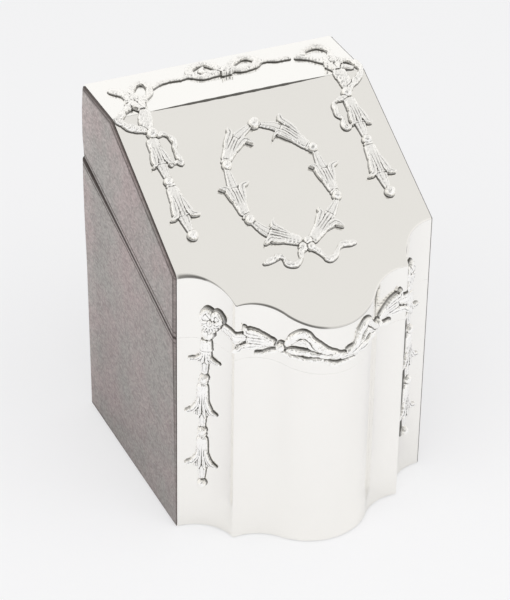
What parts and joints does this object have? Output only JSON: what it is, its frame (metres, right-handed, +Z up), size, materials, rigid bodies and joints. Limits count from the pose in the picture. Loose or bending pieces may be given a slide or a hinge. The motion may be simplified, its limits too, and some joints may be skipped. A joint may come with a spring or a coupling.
{
  "type": "playing card box",
  "caption": "Playing card box in knife box form: leather sides, serpentine silver front and a hinged sloping lid with applied silver ribbon and husk mounts.",
  "frame": {"origin": "centre of the overall footprint, on the surface that the box stands on", "axes": "+Z up, -Y towards the serpentine front, +X to the right seen from the front"},
  "size_m": [0.092, 0.106, 0.1313],
  "materials": {
    "silver": "polished silver, softly worn",
    "leather": "grained, semi-matt",
    "wood": "planed, oiled",
    "velvet": "short pile velvet",
    "brass": "brushed",
    "baize": "woollen baize"
  },
  "bodies": {
    "box": {"base_baize": "baize", "base_board": "wood", "box_left_board": "wood", "box_right_board": "wood", "box_back_board": "wood", "box_front_board": "wood", "box_leather": "leather", "box_front_silver": "silver", "left_front_drop": "silver", "right_front_drop": "silver", "box_floor_lining": "velvet", "box_left_lining": "velvet", "box_right_lining": "velvet", "box_back_lining": "velvet", "box_front_lining": "velvet", "rear_divider": "velvet", "front_divider": "velvet", "left_hinge_box_leaf": "brass", "right_hinge_box_leaf": "brass", "left_hinge_pin": "brass", "right_hinge_pin": "brass", "box_hinge_screws": "brass"},
    "lid": {"lid_left_board": "wood", "lid_right_board": "wood", "lid_back_board": "wood", "lid_top_board": "wood", "lid_slope_board": "wood", "lid_front_board": "wood", "lid_leather": "leather", "lid_top_silver": "silver", "lid_slope_silver": "silver", "lid_front_silver": "silver", "top_ribbon": "silver", "left_corner_bow": "silver", "right_corner_bow": "silver", "left_pendant": "silver", "right_pendant": "silver", "wreath": "silver", "left_rosette": "silver", "right_rosette": "silver", "front_festoon": "silver", "lid_left_lining": "velvet", "lid_right_lining": "velvet", "lid_back_lining": "velvet", "lid_roof_lining": "velvet", "lid_front_lining": "velvet", "left_hinge_lid_leaf": "brass", "right_hinge_lid_leaf": "brass", "lid_hinge_screws": "brass"}
  },
  "joints": [
    {"name": "lid_hinge", "type": "hinge", "parent": "box", "child": "lid", "pos_m": [0, 0.05187, 0.10285], "axis": [-1, 0, 0], "range_deg": [0, 98]}
  ]
}
